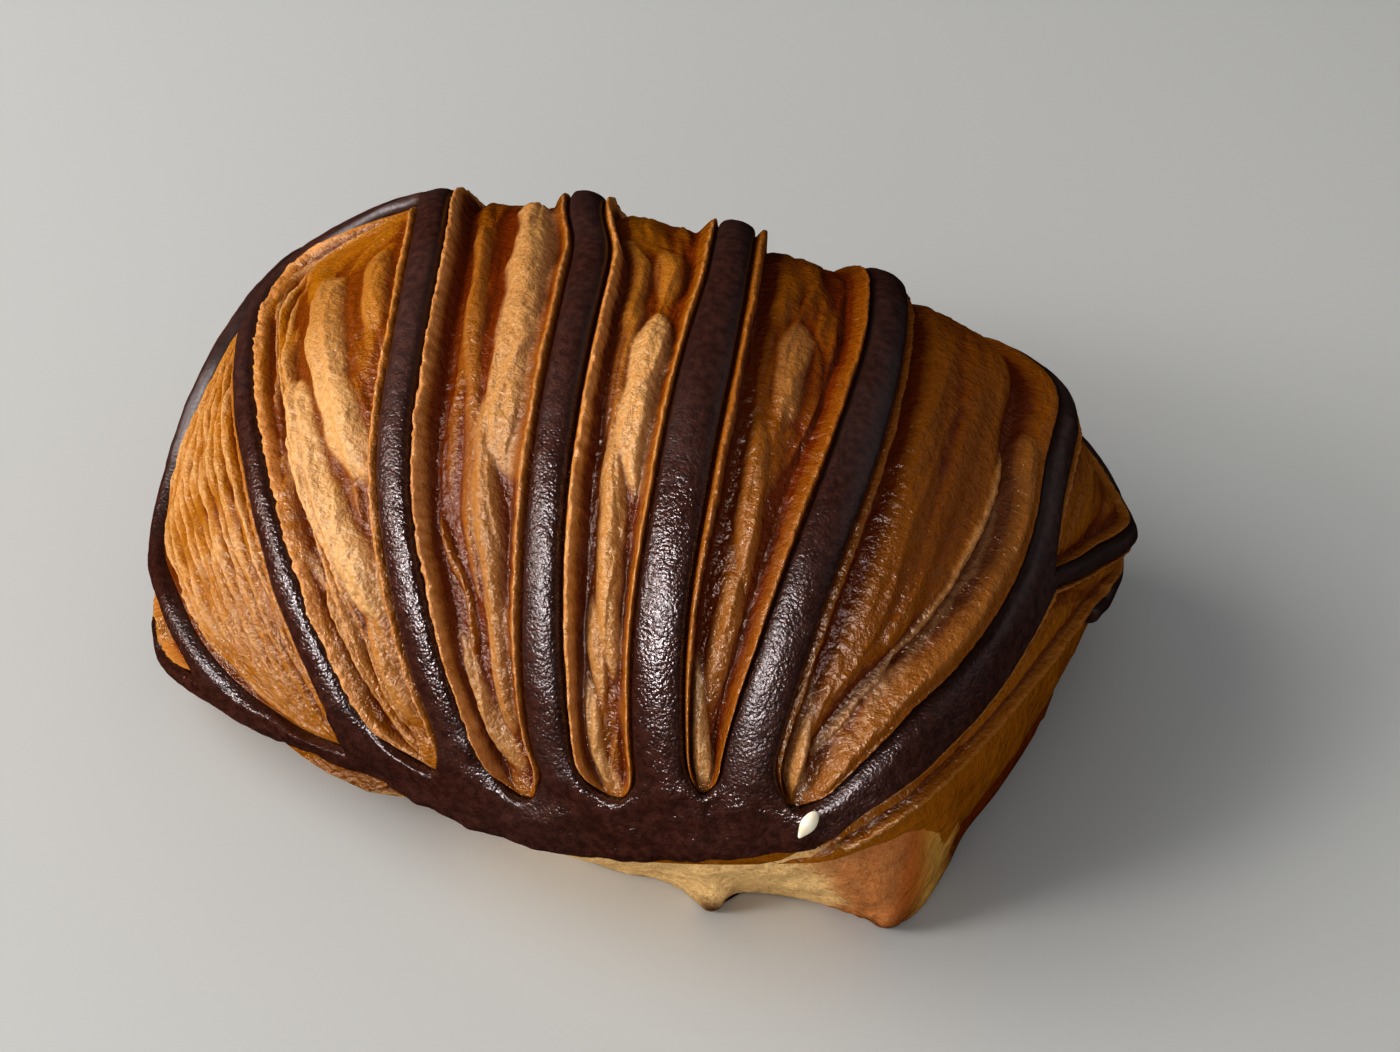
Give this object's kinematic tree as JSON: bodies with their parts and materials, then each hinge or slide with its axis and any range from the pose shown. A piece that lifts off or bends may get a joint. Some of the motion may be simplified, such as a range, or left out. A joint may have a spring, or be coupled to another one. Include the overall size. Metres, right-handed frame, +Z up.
{
  "type": "pain au chocolat",
  "caption": "Rolled laminated pastry with a slit cocoa-coloured outer sheet: dark ribs over golden flaky floors, an end flap folded flat under one end.",
  "frame": {"origin": "middle of the overall box in plan, on the table", "axes": "+X along the roll towards the end with the loose flap, +Y away from the front band, +Z up"},
  "size_m": [0.1156, 0.08, 0.0543],
  "materials": {
    "golden_crust": "egg-washed laminated crust, satin with glossy flakes, amber in the grooves and tan on the blisters",
    "cocoa_crust": "cocoa dough with a fine bumpy half-gloss skin"
  },
  "bodies": {
    "root": {"pastry_body": "golden_crust", "cocoa_ribs": "cocoa_crust"}
  },
  "joints": []
}
